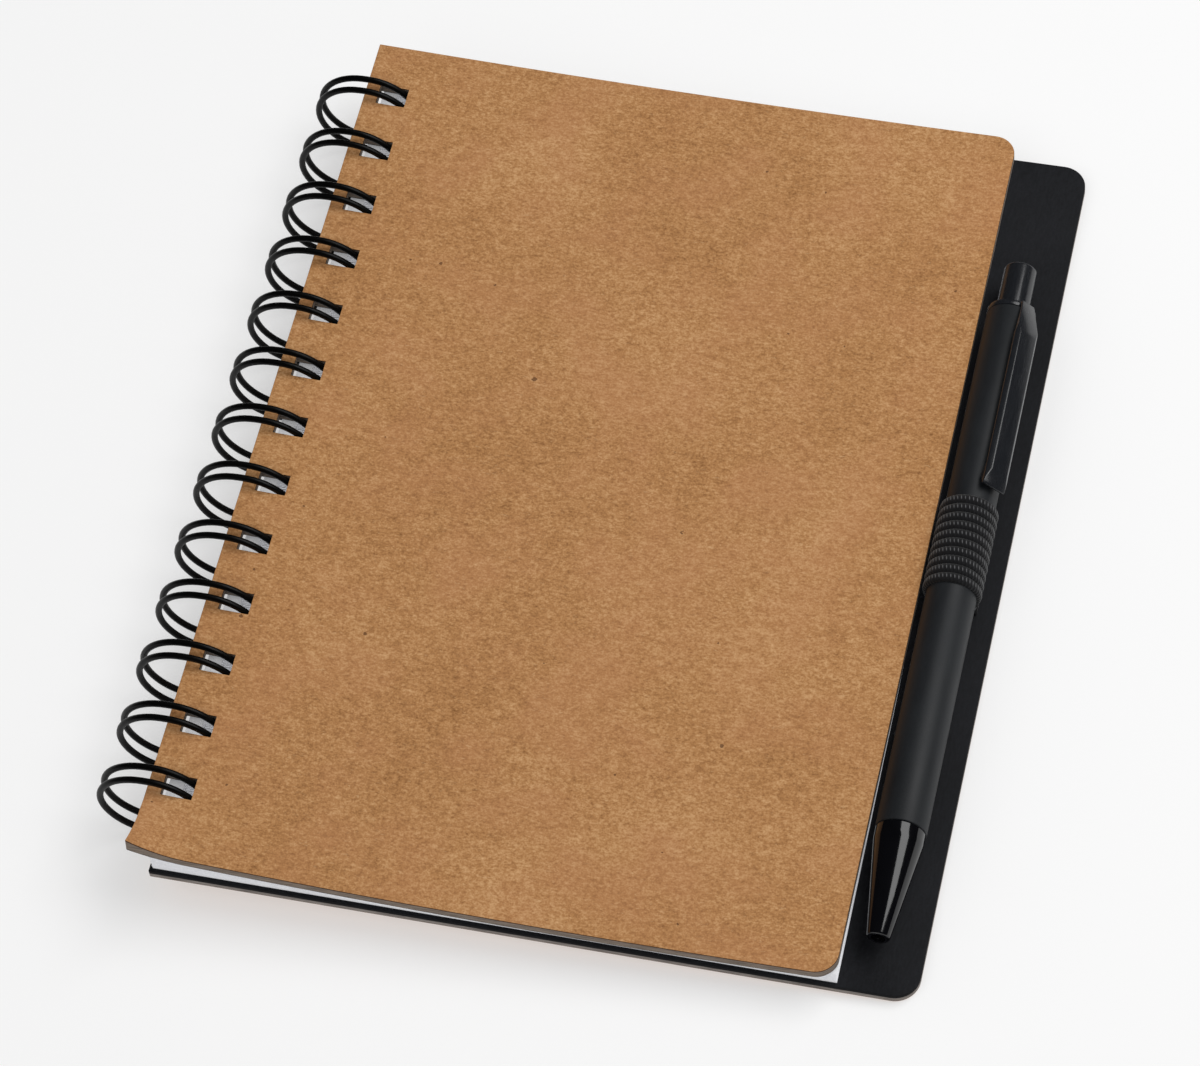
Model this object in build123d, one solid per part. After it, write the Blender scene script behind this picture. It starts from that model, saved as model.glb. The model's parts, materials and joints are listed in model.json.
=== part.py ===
from build123d import *
import math
import os

# Spiral notebook, about 7 x 5 in, with a click ballpoint pen in an elastic loop.
#
# Everything is drawn in the book frame, in millimetres: X runs from the spine edge of the front
# cover towards the fore-edge, Y runs up the spine from the bottom edge, and Z is the height above
# the underside of the back cover. At the end each piece is laid on the table: the wire rings hang
# below the back cover, so the spine stands up a little and the fore-edge touches down.

# ---------------------------------------------------------------------------
# Driving dimensions (mm)
# ---------------------------------------------------------------------------
# covers
COVER_HEIGHT = 177.8        # along the spine
FRONT_WIDTH = 122.9         # spine edge to fore-edge
BOARD = 2.0                 # thickness of both boards
FRONT_CORNER = 4.0          # radius of the two fore-edge corners
BACK_LEFT = 2.2             # spine edge of the back cover
BACK_SHELF = 13.6           # the back cover runs this far past the front cover, under the pen
BACK_SETBACK = 0.7          # at the top and the bottom edge
BACK_CORNER = 4.5
SPINE_LIFT = 10.3           # top of the front cover at its spine edge
FORE_LIFT = 7.6             # top of the front cover at its fore-edge
BOW = 1.4                   # how far the front cover sags between those two edges

# sheets
PAGE_LEFT = 2.9
PAGE_SETBACK = 1.4          # at the top and the bottom edge
PAGE_COVER_GAP = 0.3        # air under the curved front cover

# twin-loop wire
PITCH = 12.7                # two holes to the inch
LOOPS = 13
FIRST_HOLE_Y = 13.75        # middle of the lowest hole
HOLE_LENGTH = 5.4           # across the spine
HOLE_INSET = 2.6            # from each piece's spine edge
RING_X = -0.05              # the rings' centre line, which is the hinge of the book
RING_Z = 3.3
RING_RADIUS = 9.0           # to the middle of the wire
RING_FLAT = 0.9             # straight run at the top and the bottom of each ring
WIRE_RADIUS = 0.6
TWIN_GAP = 2.77             # between the two wires of one loop, middle to middle
SEAM_ANGLE = -58.0          # degrees from +X: where tips and roots meet, under the back cover
SEAM_OPEN = 16.0            # degrees of ring between roots and tips
ROOT_BEND = 1.5             # bend radius where a loop turns into the spine run
HOLE_CLEARANCE = 0.2        # between the wire and the far wall of the front cover's holes
HOLE_MARGIN = 0.115         # between the wires and each hole's two ends along the spine

# pen
PEN_GAP = 0.45              # between the front cover's fore-edge and the elastic round the pen
PEN_TIP_Y = 8.3             # front end of the nose
BARREL_RADIUS = 4.5
BARREL_BORE = 3.65
BARREL_LENGTH = 108.5
NOSE_LENGTH = 20.6
NOSE_FRONT_RADIUS = 2.0
NOSE_NECK = 2.2             # straight length behind the cone
SPIGOT_LENGTH = 8.0
SPIGOT_WALL = 1.3
COLLAR_LENGTH = 1.1         # ring of the clip, on the barrel's rear end
CLIP_WIDTH = 4.9
CLIP_THICKNESS = 1.3
CLIP_STANDOFF = 1.05        # air between blade and barrel
CLIP_LENGTH = 41.0
CLIP_SHOULDER = 8.0         # slope from the collar's rear end out to the blade
CLIP_NECK = 2.8               # width where the blade leaves the collar
CLIP_TURN = 50.0            # degrees from straight up towards the fore-edge
BUTTON_RADIUS = 3.1
BUTTON_EXPOSED = 9.7
FLANGE_LENGTH = 2.9
GUIDE_LENGTH = 10.7         # bush that holds the button in the barrel
RUNNING_CLEARANCE = 0.08    # radial, on everything that slides in the pen
FIT_CLEARANCE = 0.05        # radial, on what is pressed or screwed together
CAM_LENGTH = 5.0
CAM_CORE_RADIUS = 2.6
CAM_RIBS = 4
CAM_RIB_WIDTH = 0.9
CAM_SOCKET_DEPTH = 3.0
REFILL_RADIUS = 1.55
REFILL_WALL = 0.3
TIP_RADIUS = 1.15
TIP_RETRACTION = 1.3        # of the ball's centre behind the nose's front end
TIP_SHOULDER = 24.0         # from the nose's front end to the refill tube's front end
TIP_CONE = 3.2
BALL_RADIUS = 0.35
SPRING_SEAT = 6.0           # from the nose's front end
SPRING_RADIUS = 1.5
SPRING_WIRE = 0.17
SPRING_TURNS = 9

# elastic loop
LOOP_BOTTOM_Y = 76.9
LOOP_WIDTH = 18.3
LOOP_THICKNESS = 0.75
LOOP_FOOT = 9.0             # width of the part glued to the back cover

# ---------------------------------------------------------------------------
# Derived sizes
# ---------------------------------------------------------------------------
back_right = FRONT_WIDTH + BACK_SHELF
hole_centres = [FIRST_HOLE_Y + PITCH * i for i in range(LOOPS)]
hole_width = TWIN_GAP + 2 * WIRE_RADIUS + 2 * HOLE_MARGIN
pen_x = FRONT_WIDTH + PEN_GAP + LOOP_THICKNESS + FIT_CLEARANCE + BARREL_RADIUS
pen_z = BOARD + LOOP_THICKNESS + FIT_CLEARANCE + BARREL_RADIUS

collar_start = NOSE_LENGTH + BARREL_LENGTH
collar_end = collar_start + COLLAR_LENGTH
guide_start = collar_start - GUIDE_LENGTH
flange_end = guide_start - RUNNING_CLEARANCE
flange_start = flange_end - FLANGE_LENGTH
cam_end = flange_start - RUNNING_CLEARANCE
cam_start = cam_end - CAM_LENGTH
refill_end = cam_start + CAM_SOCKET_DEPTH
bore_in_guide = BUTTON_RADIUS + RUNNING_CLEARANCE


def along_y(face, start, length):
    """Extrude a face drawn in the XZ plane from Y = start towards +Y."""
    return Pos(0, start, 0) * extrude(face, amount=length, dir=(0, 1, 0))


def on_xz(shape):
    """Bring an outline drawn in XY into the XZ plane, Y becoming Z."""
    return Plane(origin=(0, 0, 0), x_dir=(1, 0, 0), z_dir=(0, -1, 0)) * shape


def revolved(points):
    """Turn an outline of (radius, distance from the nose's front end) points about the pen's axis."""
    outline = Polyline(*points, close=True)
    return revolve(make_face(Plane.XZ * outline), axis=Axis.Z)


def placed_in_pen(shape):
    """Lay a piece drawn along +Z in its place along the book, button end up the spine."""
    return Pos(pen_x, PEN_TIP_Y, pen_z) * Rot(-90, 0, 0) * shape


def wire_edge_x(height):
    """Farthest that the wire's side reaches at a height on the book's side, however far the cover turns."""
    widest = RING_RADIUS + RING_FLAT / 2
    rise = height - RING_Z
    slope = math.asin(rise / widest)
    return RING_X + math.sqrt(widest**2 - rise**2) + WIRE_RADIUS / math.cos(slope) + HOLE_CLEARANCE


# ---------------------------------------------------------------------------
# Covers and sheets
# ---------------------------------------------------------------------------
def bowed_face(top_drop, bottom_drop):
    """Cross-section between two copies of the front cover's bowed line, lowered by the two drops."""
    middle = (SPINE_LIFT + FORE_LIFT) / 2 - BOW
    line = ((0, SPINE_LIFT), (FRONT_WIDTH / 2, middle), (FRONT_WIDTH, FORE_LIFT))
    top = ThreePointArc(*[(x, z - top_drop) for x, z in line])
    bottom = ThreePointArc(*[(x, z - bottom_drop) for x, z in line])
    ends = [Line(top @ 0, bottom @ 0), Line(top @ 1, bottom @ 1)]
    return on_xz(make_face([top, bottom, *ends]))


def rounded_fore_edge(solid, radius):
    """Round the two upright corners of a board's fore-edge."""
    corners = solid.edges().filter_by(Axis.Z).group_by(Axis.X)[-1]
    return fillet(corners, radius)


def front_cover():
    board = rounded_fore_edge(along_y(bowed_face(0, BOARD), 0, COVER_HEIGHT), FRONT_CORNER)
    top = SPINE_LIFT
    bottom = SPINE_LIFT - BOARD - BOW / 2
    near = HOLE_INSET
    slot = Polyline(
        (near, bottom),
        (wire_edge_x(SPINE_LIFT - BOARD - BOW / 4) + BOW / 4, bottom),
        (near + HOLE_LENGTH, top),
        (near, top),
        close=True,
    )
    for centre in hole_centres:
        board -= along_y(on_xz(make_face(slot)), centre - hole_width / 2, hole_width)
    return board


def punched(solid, spine_edge, height):
    """Punch the row of holes through a flat piece."""
    for centre in hole_centres:
        place = Pos(spine_edge + HOLE_INSET + HOLE_LENGTH / 2, centre, height / 2)
        solid -= place * Box(HOLE_LENGTH, hole_width, height + 2)
    return solid


def back_cover():
    width = back_right - BACK_LEFT
    length = COVER_HEIGHT - 2 * BACK_SETBACK
    place = Pos(BACK_LEFT + width / 2, COVER_HEIGHT / 2, BOARD / 2)
    board = rounded_fore_edge(place * Box(width, length, BOARD), BACK_CORNER)
    return punched(board, BACK_LEFT, 2 * BOARD)


def page_block():
    length = COVER_HEIGHT - 2 * PAGE_SETBACK
    under_cover = along_y(bowed_face(BOARD + PAGE_COVER_GAP, SPINE_LIFT), PAGE_SETBACK, length)
    width = FRONT_WIDTH - PAGE_LEFT
    place = Pos(PAGE_LEFT + width / 2, COVER_HEIGHT / 2, BOARD + SPINE_LIFT / 2)
    block = under_cover & place * Box(width, COVER_HEIGHT, SPINE_LIFT)
    return punched(block, PAGE_LEFT, 2 * SPINE_LIFT)


# ---------------------------------------------------------------------------
# Twin-loop wire
# ---------------------------------------------------------------------------
def ring_point(angle, y, ahead=0.0):
    """A point on the ring's middle line, or ahead of it along the tangent."""
    a = math.radians(angle)
    side = RING_FLAT / 2 if math.cos(a) > 0 else -RING_FLAT / 2
    x = RING_X + side + RING_RADIUS * math.cos(a) - ahead * math.sin(a)
    z = RING_Z + RING_RADIUS * math.sin(a) + ahead * math.cos(a)
    return Vector(x, y, z)


def arc(first, middle, last):
    return Edge.make_three_point_arc(first, middle, last)


def ring_edges(y, start, end):
    """One wire of a loop, from its root on the book's side over the top and round to its tip."""
    right = RING_X + RING_FLAT / 2
    left = RING_X - RING_FLAT / 2
    top = RING_Z + RING_RADIUS
    bottom = RING_Z - RING_RADIUS
    return [
        arc(ring_point(start, y), ring_point((start + 90) / 2, y), Vector(right, y, top)),
        Edge.make_line(Vector(right, y, top), Vector(left, y, top)),
        arc(Vector(left, y, top), ring_point(180, y), Vector(left, y, bottom)),
        Edge.make_line(Vector(left, y, bottom), Vector(right, y, bottom)),
        arc(Vector(right, y, bottom), ring_point((270 + end) / 2, y), ring_point(end, y)),
    ]


def wire_path():
    """One wire: up one side of a loop, round its tip, back down, and along to the next loop."""
    root = SEAM_ANGLE + SEAM_OPEN / 2
    tip = SEAM_ANGLE - SEAM_OPEN / 2 + 360
    half_gap = TWIN_GAP / 2
    diagonal = math.sqrt(0.5)
    bend = ROOT_BEND * (1 - diagonal)
    edges = []
    for i, centre in enumerate(hole_centres):
        low = centre - half_gap
        high = centre + half_gap
        edges += ring_edges(low, root, tip)
        edges.append(arc(ring_point(tip, low), ring_point(tip, centre, half_gap), ring_point(tip, high)))
        edges += ring_edges(high, root, tip)[::-1]
        if i == LOOPS - 1:
            break
        next_low = low + PITCH
        run_start = ring_point(root, high + ROOT_BEND, -ROOT_BEND)
        run_end = ring_point(root, next_low - ROOT_BEND, -ROOT_BEND)
        out = ring_point(root, high + bend, -ROOT_BEND * diagonal)
        back = ring_point(root, next_low - bend, -ROOT_BEND * diagonal)
        edges.append(arc(ring_point(root, high), out, run_start))
        edges.append(Edge.make_line(run_start, run_end))
        edges.append(arc(run_end, back, ring_point(root, next_low)))
    return Wire(edges)


def wire_binding():
    path = wire_path()
    section = Plane(origin=path @ 0, z_dir=path % 0) * Circle(WIRE_RADIUS)
    return sweep(section, path=path)


# ---------------------------------------------------------------------------
# Pen
# ---------------------------------------------------------------------------
def pen_barrel():
    mouth = BARREL_RADIUS - SPIGOT_WALL / 2
    step = NOSE_LENGTH + SPIGOT_LENGTH + 4 * FIT_CLEARANCE
    tube = revolved([
        (mouth, NOSE_LENGTH),
        (BARREL_RADIUS, NOSE_LENGTH),
        (BARREL_RADIUS, collar_start),
        (BARREL_BORE, collar_start),
        (BARREL_BORE, step),
        (mouth, step),
    ])
    return placed_in_pen(tube)


def nose_cone():
    spigot = BARREL_RADIUS - SPIGOT_WALL / 2 - FIT_CLEARANCE
    tip_bore = TIP_RADIUS + RUNNING_CLEARANCE
    chamber = SPRING_RADIUS + SPRING_WIRE + 4 * RUNNING_CLEARANCE
    chamber = max(chamber, REFILL_RADIUS + 4 * RUNNING_CLEARANCE)
    cone = revolved([
        (tip_bore, 0),
        (NOSE_FRONT_RADIUS, 0),
        (BARREL_RADIUS - 0.15, NOSE_LENGTH - NOSE_NECK),
        (BARREL_RADIUS - 0.15, NOSE_LENGTH),
        (spigot, NOSE_LENGTH),
        (spigot, NOSE_LENGTH + SPIGOT_LENGTH),
        (chamber, NOSE_LENGTH + SPIGOT_LENGTH),
        (chamber, SPRING_SEAT),
        (tip_bore, SPRING_SEAT),
    ])
    return placed_in_pen(cone)


def pen_clip():
    inner = BARREL_RADIUS + CLIP_STANDOFF
    outer = inner + CLIP_THICKNESS
    end = collar_end - CLIP_LENGTH
    collar = revolved([
        (bore_in_guide, collar_start),
        (BARREL_RADIUS, collar_start),
        (BARREL_RADIUS, collar_end),
        (bore_in_guide, collar_end),
    ])
    root = (bore_in_guide + BARREL_RADIUS) / 2
    side = Polyline(
        (root, collar_start),
        (root, collar_end),
        (BARREL_RADIUS + 0.3, collar_end),
        (outer, collar_end - CLIP_SHOULDER),
        (outer, end + 3),
        (inner + 0.4, end),
        (inner, end),
        (BARREL_RADIUS + 0.15, end + 2),
        (inner, end + 4.5),
        (inner, collar_end - CLIP_SHOULDER + 1.0),
        (BARREL_RADIUS + 0.15, collar_start),
        close=True,
    )
    arm = extrude(make_face(Plane.XZ * side), amount=CLIP_WIDTH / 2, both=True)
    ridges = arm.faces().sort_by(Axis.X)[-1].edges().filter_by(Axis.Z)
    arm = chamfer(ridges, 0.7)
    neck = CLIP_NECK / 2
    edge = CLIP_WIDTH / 2
    plan = Polyline(
        (-edge, end - 1),
        (-edge, collar_end - CLIP_SHOULDER),
        (-neck, collar_end),
        (neck, collar_end),
        (edge, collar_end - CLIP_SHOULDER),
        (edge, end - 1),
        close=True,
    )
    arm &= extrude(make_face(Plane.YZ * plan), amount=2 * outer, both=True)
    clip = Rot(0, 0, -CLIP_TURN) * arm + collar
    return placed_in_pen(clip)


def button_guide():
    outer = BARREL_BORE - FIT_CLEARANCE
    bush = revolved([
        (bore_in_guide, guide_start),
        (outer, guide_start),
        (outer, collar_start),
        (bore_in_guide, collar_start),
    ])
    return placed_in_pen(bush)


def pen_button():
    flange = BARREL_BORE - RUNNING_CLEARANCE
    end = collar_end + BUTTON_EXPOSED
    bore = BUTTON_RADIUS / 2
    body = revolved([
        (0, flange_end),
        (bore, flange_end),
        (bore, flange_start),
        (flange, flange_start),
        (flange, flange_end),
        (BUTTON_RADIUS, flange_end),
        (BUTTON_RADIUS, end),
        (0, end),
    ])
    rim = body.edges().filter_by(GeomType.CIRCLE).group_by(Axis.Z)[-1]
    return placed_in_pen(fillet(rim, 0.6))


def cam_rotor():
    core = revolved([(0, cam_start), (CAM_CORE_RADIUS, cam_start), (CAM_CORE_RADIUS, cam_end), (0, cam_end)])
    reach = BARREL_BORE - RUNNING_CLEARANCE
    rib = Pos(reach / 2, 0, (cam_start + cam_end) / 2) * Box(reach, CAM_RIB_WIDTH, CAM_LENGTH)
    ring = Pos(0, 0, cam_start) * Cylinder(reach, 2 * CAM_LENGTH, align=(Align.CENTER,) * 3)
    for i in range(CAM_RIBS):
        core += (Rot(0, 0, 360 / CAM_RIBS * i) * rib) & ring
    socket = REFILL_RADIUS + RUNNING_CLEARANCE
    core -= Pos(0, 0, cam_start) * Cylinder(socket, 2 * CAM_SOCKET_DEPTH)
    return placed_in_pen(core)


def refill_tube():
    inner = REFILL_RADIUS - REFILL_WALL
    tube = revolved([
        (inner, TIP_SHOULDER),
        (REFILL_RADIUS, TIP_SHOULDER),
        (REFILL_RADIUS, refill_end),
        (inner, refill_end),
    ])
    return placed_in_pen(tube)


def refill_tip():
    front = TIP_RETRACTION
    plug = REFILL_RADIUS - REFILL_WALL - FIT_CLEARANCE
    channel = BALL_RADIUS * 0.7
    tip = revolved([
        (0, front),
        (BALL_RADIUS + 0.12, front),
        (TIP_RADIUS, front + TIP_CONE),
        (TIP_RADIUS, TIP_SHOULDER),
        (plug, TIP_SHOULDER),
        (plug, TIP_SHOULDER + 5),
        (0, TIP_SHOULDER + 5),
    ])
    tip -= Pos(0, 0, front) * Sphere(BALL_RADIUS + FIT_CLEARANCE / 5)
    tip -= Pos(0, 0, front + TIP_SHOULDER / 2 + 3) * Cylinder(channel, TIP_SHOULDER + 6)
    return placed_in_pen(tip)


def writing_ball():
    return placed_in_pen(Pos(0, 0, TIP_RETRACTION) * Sphere(BALL_RADIUS))


def return_spring():
    start = SPRING_SEAT + SPRING_WIRE + FIT_CLEARANCE
    height = TIP_SHOULDER - SPRING_WIRE - FIT_CLEARANCE - start
    coil = Helix(pitch=height / SPRING_TURNS, height=height, radius=SPRING_RADIUS)
    section = Plane(origin=coil @ 0, z_dir=coil % 0) * Circle(SPRING_WIRE)
    wire = sweep(section, path=coil, is_frenet=True)
    return placed_in_pen(Pos(0, 0, start) * wire)


def pen_loop():
    inner = BARREL_RADIUS + FIT_CLEARANCE
    outer = inner + LOOP_THICKNESS
    foot_height = LOOP_THICKNESS
    foot_z = BOARD + foot_height / 2
    band = Pos(pen_x, pen_z) * Circle(outer)
    band += Pos(pen_x, foot_z) * Rectangle(LOOP_FOOT, foot_height)
    band -= Pos(pen_x, pen_z) * Circle(inner)
    return along_y(on_xz(band), LOOP_BOTTOM_Y, LOOP_WIDTH)


# ---------------------------------------------------------------------------
# Laid on the table: the rings and the fore-edge of the back cover touch it
# ---------------------------------------------------------------------------
ring_outer = RING_RADIUS + WIRE_RADIUS
ring_right = RING_X + RING_FLAT / 2
ring_left = RING_X - RING_FLAT / 2
reach = math.hypot(back_right - ring_right, RING_Z)
lean = math.degrees(math.asin(ring_outer / reach) - math.atan2(RING_Z, back_right - ring_right))
lean_cos = math.cos(math.radians(lean))
lean_sin = math.sin(math.radians(lean))
table_z = -back_right * lean_sin
left_x = ring_left * lean_cos + RING_Z * lean_sin - ring_outer
right_x = back_right * lean_cos + BOARD * lean_sin
on_table = Pos(-(left_x + right_x) / 2, -COVER_HEIGHT / 2, -table_z) * Rot(0, lean, 0)

PIECES = {
    "front_cover": front_cover,
    "back_cover": back_cover,
    "page_block": page_block,
    "wire_binding": wire_binding,
    "pen_loop": pen_loop,
    "pen_barrel": pen_barrel,
    "nose_cone": nose_cone,
    "pen_clip": pen_clip,
    "button_guide": button_guide,
    "pen_button": pen_button,
    "cam_rotor": cam_rotor,
    "refill_tube": refill_tube,
    "refill_tip": refill_tip,
    "writing_ball": writing_ball,
    "return_spring": return_spring,
}

os.makedirs("parts", exist_ok=True)
for name, build in PIECES.items():
    export_step(on_table * build(), f"parts/{name}.step")

hinge = (on_table * Pos(RING_X, 0, RING_Z)).position
pen = (on_table * Pos(pen_x, 0, pen_z)).position
print(f"lean {lean:.3f} deg")
print(f"hinge line at x {hinge.X:.4f}, z {hinge.Z:.4f}")
print(f"pen axis at x {pen.X:.4f}, z {pen.Z:.4f}")
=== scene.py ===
import json
import math
import random

import bpy
from mathutils import Matrix, Vector


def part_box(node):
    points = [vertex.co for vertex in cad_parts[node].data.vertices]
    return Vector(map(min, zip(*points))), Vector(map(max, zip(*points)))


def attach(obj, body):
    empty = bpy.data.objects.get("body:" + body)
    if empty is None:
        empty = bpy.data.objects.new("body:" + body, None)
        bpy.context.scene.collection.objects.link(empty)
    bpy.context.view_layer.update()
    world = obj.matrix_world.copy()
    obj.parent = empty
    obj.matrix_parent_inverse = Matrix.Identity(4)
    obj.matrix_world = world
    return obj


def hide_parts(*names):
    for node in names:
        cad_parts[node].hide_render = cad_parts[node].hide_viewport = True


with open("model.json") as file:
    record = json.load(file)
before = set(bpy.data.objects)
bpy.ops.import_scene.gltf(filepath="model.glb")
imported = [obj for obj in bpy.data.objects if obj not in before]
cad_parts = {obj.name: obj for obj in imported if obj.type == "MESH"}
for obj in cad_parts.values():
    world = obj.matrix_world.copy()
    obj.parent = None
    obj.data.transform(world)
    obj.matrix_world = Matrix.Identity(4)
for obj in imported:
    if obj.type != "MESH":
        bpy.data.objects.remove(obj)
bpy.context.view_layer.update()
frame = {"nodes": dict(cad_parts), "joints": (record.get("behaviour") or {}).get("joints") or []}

# ---------------------------------------------------------------------------
# Front cover. A grey board with brown kraft paper pasted on its outside and black paper on its
# inside, cut square at the spine and round at the fore-edge, with thirteen punched holes.
# It has taken the bow of the sheets below it, and its lower spine corner is turned up and frayed.
# ---------------------------------------------------------------------------
MM = 0.001
COVER_HEIGHT = 177.8 * MM
FRONT_WIDTH = 122.9 * MM
BOARD = 2.0 * MM
FRONT_CORNER = 4.0 * MM
FIRST_HOLE_Y = 13.75 * MM
PITCH = 12.7 * MM
LOOPS = 13
HOLE_LENGTH = 5.4 * MM
HOLE_WIDTH = 4.2 * MM
HOLE_INSET = 2.6 * MM       # from the spine edge to the holes
HOLE_SLANT = 1.2 * MM       # the far wall of each hole leans, to clear the ring when the cover turns
SPINE_LIFT = 10.3 * MM      # the cover's top above the back cover's underside, at either edge
FORE_LIFT = 7.6 * MM
BOW_AT_TOP = 0.9 * MM       # how far its middle sags below a straight line between those edges
BOW_AT_BOTTOM = 1.9 * MM
CURL_RISE = 3.2 * MM        # the turned-up corner
CURL_REACH = 10.0 * MM
CURL_CUTS = [1.3 * MM, 4.0 * MM, 6.0 * MM, 10.0 * MM]
FRAY = 0.8                  # how much thicker the opened plies stand at that corner
EDGE_ROUNDING = 0.16 * MM
CORNER_STEPS = 12
FRONT_COLUMNS = 24          # strips across the cover, fine enough to bend
FACING = 0.75               # how squarely a face looks up or down to count as a top or an underside
NEAR = 0.01 * MM

# The book leans on its rings: its own frame, with the spine edge at X = 0, the bottom edge at Y = 0
# and the back cover's underside at Z = 0, is turned about the hinge line.
LEAN = math.radians(2.6546)
HINGE_IN_BOOK = Vector((-0.05, 0, 3.3)) * MM
middle_of_spine = Vector((0, COVER_HEIGHT / 2, 0))


def joint_place(name):
    """Where a joint of the frame stands on the table."""
    return next(Vector(joint["pos_m"]) for joint in frame["joints"] if joint["name"] == name)


book_to_table = (
    Matrix.Translation(joint_place("pages_turn"))
    @ Matrix.Rotation(LEAN, 4, "Y")
    @ Matrix.Translation(-HINGE_IN_BOOK - middle_of_spine)
)
hole_rows = [FIRST_HOLE_Y + PITCH * i for i in range(LOOPS)]


def deselect_all():
    if bpy.context.object and bpy.context.object.mode != "OBJECT":
        bpy.ops.object.mode_set(mode="OBJECT")
    bpy.ops.object.select_all(action="DESELECT")


def activate(piece):
    """Make the piece the one that the next operators work on."""
    deselect_all()
    piece.select_set(True)
    bpy.context.view_layer.objects.active = piece


def select_by(piece, kind, test):
    """In edit mode, select the vertices or the faces that pass a test of their middle point."""
    bpy.ops.mesh.select_mode(type=kind)
    bpy.ops.mesh.select_all(action="DESELECT")
    bpy.ops.object.mode_set(mode="OBJECT")
    mesh = piece.data
    if kind == "VERT":
        for vertex in mesh.vertices:
            vertex.select = test(vertex.co)
    else:
        for face in mesh.polygons:
            face.select = test(face.center)
    bpy.ops.object.mode_set(mode="EDIT")


def apply_modifier(piece, kind, **settings):
    """Add a modifier to the piece and apply it at once."""
    activate(piece)
    modifier = piece.modifiers.new(kind.title(), kind)
    for name, value in settings.items():
        setattr(modifier, name, value)
    bpy.ops.object.modifier_apply(modifier=modifier.name)


def round_edges(piece, width, angle=35):
    """Round every edge that turns by more than an angle in degrees."""
    limit = math.radians(angle)
    apply_modifier(piece, "BEVEL", width=width, segments=2, limit_method="ANGLE", angle_limit=limit)


def shade_by_angle(piece, angle=35):
    """Shade the piece smooth, but for the edges that turn by more than an angle in degrees."""
    activate(piece)
    bpy.ops.object.shade_smooth_by_angle(angle=math.radians(angle))


def cut_across(positions, direction):
    """Divide the whole mesh in edit mode along straight lines across one direction."""
    for position in positions:
        bpy.ops.mesh.select_all(action="SELECT")
        bpy.ops.mesh.bisect(plane_co=Vector(direction) * position, plane_no=direction)


def punched_sheet(name, left, right, low, high, corner, columns, extra_cuts=()):
    """A flat sheet in the book frame, with round fore-edge corners and its row of holes."""
    deselect_all()
    bpy.ops.mesh.primitive_plane_add(size=1, location=((left + right) / 2, (low + high) / 2, 0))
    sheet = bpy.context.object
    sheet.name = name
    sheet.scale = (right - left, high - low, 1)
    bpy.ops.object.transform_apply(location=True, rotation=False, scale=True)
    bpy.ops.object.mode_set(mode="EDIT")
    if corner:
        select_by(sheet, "VERT", lambda co: co.x > right - corner / 2)
        bpy.ops.mesh.bevel(offset=corner, segments=CORNER_STEPS, affect="VERTICES")
    hole_left = left + HOLE_INSET
    hole_right = hole_left + HOLE_LENGTH
    hole_edges = [row + side * HOLE_WIDTH / 2 for row in hole_rows for side in (-1, 1)]
    column_width = (right - hole_right) / columns
    cut_across(hole_edges, (0, 1, 0))
    cut_across([hole_left, hole_right], (1, 0, 0))
    cut_across([hole_right + column_width * i for i in range(1, columns)], (1, 0, 0))
    cut_across(extra_cuts, (1, 0, 0))
    cut_across(extra_cuts, (0, 1, 0))

    def in_a_hole(co):
        return hole_left < co.x < hole_right and any(abs(co.y - row) < HOLE_WIDTH / 2 for row in hole_rows)

    select_by(sheet, "FACE", in_a_hole)
    bpy.ops.mesh.delete(type="FACE")
    bpy.ops.object.mode_set(mode="OBJECT")
    return sheet


def keep_layer_height(piece, low, high):
    """Store how high each point lies in the flat board, from 0 at its underside to 1 at its top."""
    layer = piece.data.attributes.new("layer", "FLOAT", "POINT")
    for vertex, value in zip(piece.data.vertices, layer.data):
        value.value = (vertex.co.z - low) / (high - low)


def bowed_height(x, y):
    """Height of the front cover's top above the back cover's underside."""
    across = min(max(x / FRONT_WIDTH, 0), 1)
    up = y / COVER_HEIGHT
    bow = BOW_AT_BOTTOM + (BOW_AT_TOP - BOW_AT_BOTTOM) * up
    return SPINE_LIFT + (FORE_LIFT - SPINE_LIFT) * across - 4 * bow * across * (1 - across)


def bend_cover(co):
    """Move a point of the flat board to its place in the bent one, whose lower spine corner rises."""
    step = 0.1 * MM
    height = bowed_height(co.x, co.y)
    slope_x = (bowed_height(co.x + step, co.y) - height) / step
    slope_y = (bowed_height(co.x, co.y + step) - height) / step
    normal = Vector((-slope_x, -slope_y, 1)).normalized()
    corner = max(0, 1 - math.hypot(co.x, co.y) / CURL_REACH) ** 2
    top = Vector((co.x, co.y, height + CURL_RISE * corner))
    return top + normal * co.z * (1 + FRAY * corner)


def paint_faces(piece, top, side, bottom):
    """Give the top, the cut sides and the underside of a board or a sheet their materials."""
    piece.data.materials.clear()
    for finish in (top, side, bottom):
        piece.data.materials.append(finish)
    for face in piece.data.polygons:
        if face.normal.z > FACING:
            face.material_index = 0
        elif face.normal.z < -FACING:
            face.material_index = 2
        else:
            face.material_index = 1


class Number:
    """A shader socket that carries a number, so that shader maths can be written as Python."""

    def __init__(self, finish, socket):
        self.finish = finish
        self.socket = socket

    def maths(self, operation, *values):
        inputs = dict(enumerate(values))
        node = self.finish.node("ShaderNodeMath", {"operation": operation}, inputs)
        return Number(self.finish, node.outputs[0])

    def __add__(self, other):
        return self.maths("ADD", self, other)

    def __sub__(self, other):
        return self.maths("SUBTRACT", self, other)

    def __rsub__(self, other):
        return self.maths("SUBTRACT", other, self)

    def __mul__(self, other):
        return self.maths("MULTIPLY", self, other)

    def __rmul__(self, other):
        return self.maths("MULTIPLY", other, self)

    def below(self, other):
        return self.maths("LESS_THAN", self, other)

    def sine(self):
        return self.maths("SINE", self)

    def cosine(self):
        return self.maths("COSINE", self)


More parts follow.
